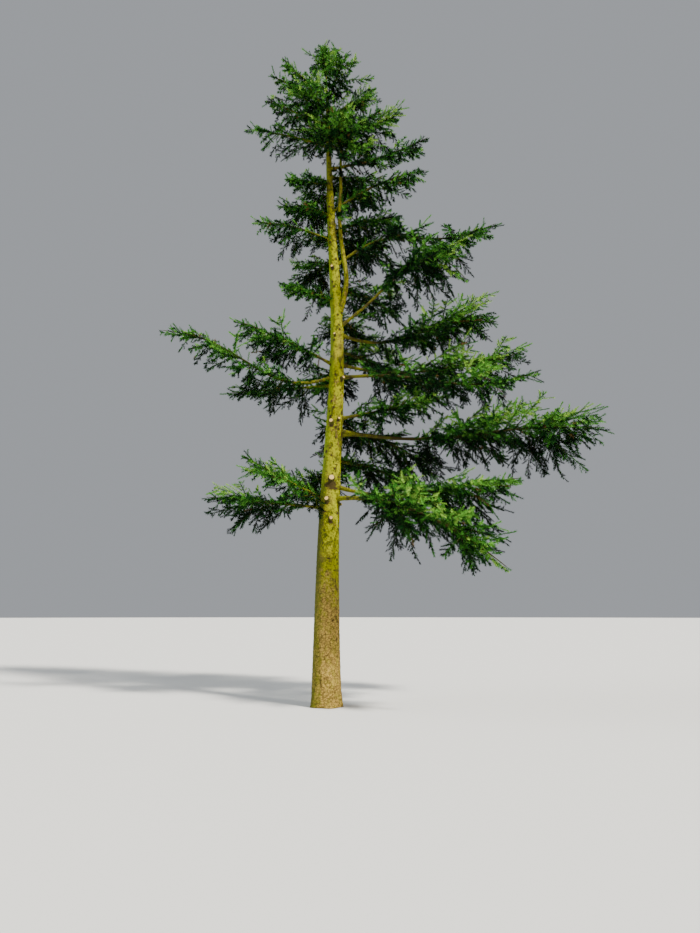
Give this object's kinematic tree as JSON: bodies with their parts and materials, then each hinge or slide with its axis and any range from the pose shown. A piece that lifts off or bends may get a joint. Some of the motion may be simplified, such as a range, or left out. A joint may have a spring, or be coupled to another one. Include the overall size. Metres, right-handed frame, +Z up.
{
  "type": "atlas cedar tree",
  "caption": "Tall atlas cedar with a leaning, tapering trunk, tiers of long needled boughs to the sides and back, and cut stubs up its pruned near side.",
  "frame": {"origin": "middle of the flat cut at ground level under the root flare", "axes": "+Z up along the trunk; +X to the right and +Y away from a viewer who faces the pruned side"},
  "size_m": [8.5081, 5.2812, 13.5665],
  "materials": {
    "trunk_bark": "rough bark with a green-yellow growth of algae, bare grey-tan near the ground",
    "bough_bark": "rough grey-brown bark",
    "foliage": "matt dark green needles"
  },
  "bodies": {
    "root": {"trunk": "trunk_bark", "second_stem": "trunk_bark", "bough_low_right_near": "bough_bark", "bough_low_right_outer": "bough_bark", "bough_low_right_back": "bough_bark", "bough_far_right": "bough_bark", "bough_mid_right_low": "bough_bark", "bough_mid_right": "bough_bark", "bough_mid_right_back": "bough_bark", "bough_broad_right": "bough_bark", "bough_arching_right": "bough_bark", "bough_rising_right": "bough_bark", "bough_low_left": "bough_bark", "bough_left_long": "bough_bark", "bough_left_over": "bough_bark", "foliage_low_right_near": "foliage", "foliage_low_right_outer": "foliage", "foliage_low_right_back": "foliage", "foliage_far_right": "foliage", "foliage_mid_right_low": "foliage", "foliage_mid_right": "foliage", "foliage_mid_right_back": "foliage", "foliage_broad_right": "foliage", "foliage_arching_right": "foliage", "foliage_rising_right": "foliage", "foliage_crown_right_a": "foliage", "foliage_crown_right_b": "foliage", "foliage_crown_right_c": "foliage", "foliage_crown_right_d": "foliage", "foliage_crown_right_e": "foliage", "foliage_low_left": "foliage", "foliage_low_left_near": "foliage", "foliage_left_long": "foliage", "foliage_left_under": "foliage", "foliage_left_over": "foliage", "foliage_crown_left_a": "foliage", "foliage_crown_left_b": "foliage", "foliage_crown_left_c": "foliage", "foliage_crown_left_d": "foliage", "foliage_crown_left_e": "foliage", "foliage_crown_left_f": "foliage", "foliage_crown_left_g": "foliage", "foliage_crown_left_h": "foliage", "foliage_crown_near_a": "foliage", "foliage_crown_near_b": "foliage", "foliage_crown_near_c": "foliage", "foliage_far_low": "foliage", "foliage_far_low_left": "foliage", "foliage_far_mid": "foliage", "foliage_far_mid_left": "foliage", "foliage_far_mid_right": "foliage", "foliage_far_broad": "foliage", "foliage_far_upper_right": "foliage", "foliage_far_upper_left": "foliage", "foliage_crown_far_a": "foliage", "foliage_crown_far_b": "foliage", "foliage_crown_far_c": "foliage", "foliage_crown_far_d": "foliage", "foliage_leader": "foliage", "foliage_second_leader": "foliage"}
  },
  "joints": []
}
